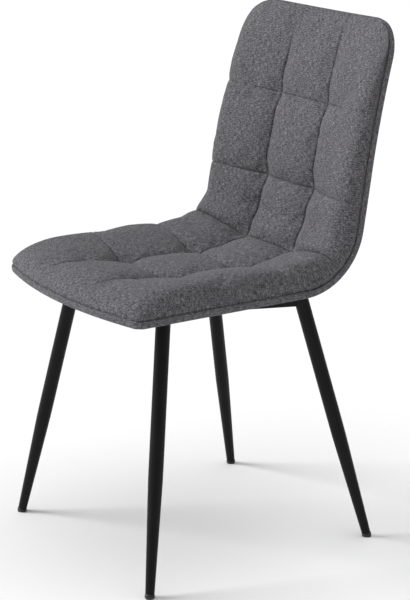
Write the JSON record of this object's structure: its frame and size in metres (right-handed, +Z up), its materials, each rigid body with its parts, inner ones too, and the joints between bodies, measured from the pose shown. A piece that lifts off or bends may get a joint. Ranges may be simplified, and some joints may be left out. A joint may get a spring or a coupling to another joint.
{
  "type": "dining chair",
  "caption": "Armless dining chair with a quilted grey fabric shell, seat and back in one, on splayed tapered round steel legs painted black.",
  "frame": {"origin": "on the floor, under the middle of the chair's bounding box", "axes": "+Z up; the chair faces -Y, so its back is at +Y; +X to the sitter's left"},
  "size_m": [0.4478, 0.5453, 0.8774],
  "materials": {
    "grey_fabric": "matt melange weave",
    "powder_coat": "matt black powder coat",
    "black_plastic": "fine satin",
    "zinc_steel": "zinc plated",
    "birch_plywood": "sanded",
    "foam": "open-cell foam",
    "wadding": "soft wadding",
    "black_cloth": "non-woven cloth"
  },
  "bodies": {
    "root": {"leg_front_left": "powder_coat", "glide_front_left": "black_plastic", "corner_plate_front_left": "powder_coat", "bolt_front_left": "zinc_steel", "lock_washer_front_left": "zinc_steel", "flat_washer_front_left": "zinc_steel", "t_nut_front_left": "zinc_steel", "leg_front_right": "powder_coat", "glide_front_right": "black_plastic", "corner_plate_front_right": "powder_coat", "bolt_front_right": "zinc_steel", "lock_washer_front_right": "zinc_steel", "flat_washer_front_right": "zinc_steel", "t_nut_front_right": "zinc_steel", "leg_rear_left": "powder_coat", "glide_rear_left": "black_plastic", "corner_plate_rear_left": "powder_coat", "bolt_rear_left": "zinc_steel", "lock_washer_rear_left": "zinc_steel", "flat_washer_rear_left": "zinc_steel", "t_nut_rear_left": "zinc_steel", "leg_rear_right": "powder_coat", "glide_rear_right": "black_plastic", "corner_plate_rear_right": "powder_coat", "bolt_rear_right": "zinc_steel", "lock_washer_rear_right": "zinc_steel", "flat_washer_rear_right": "zinc_steel", "t_nut_rear_right": "zinc_steel", "front_crossbar": "powder_coat", "rear_crossbar": "powder_coat", "brace_left": "powder_coat", "brace_right": "powder_coat", "plywood_shell": "birch_plywood", "seat_foam": "foam", "back_foam": "foam", "rear_padding": "wadding", "quilted_cover": "grey_fabric", "side_band": "grey_fabric", "rear_cover": "grey_fabric", "dust_cover": "black_cloth"}
  },
  "joints": []
}
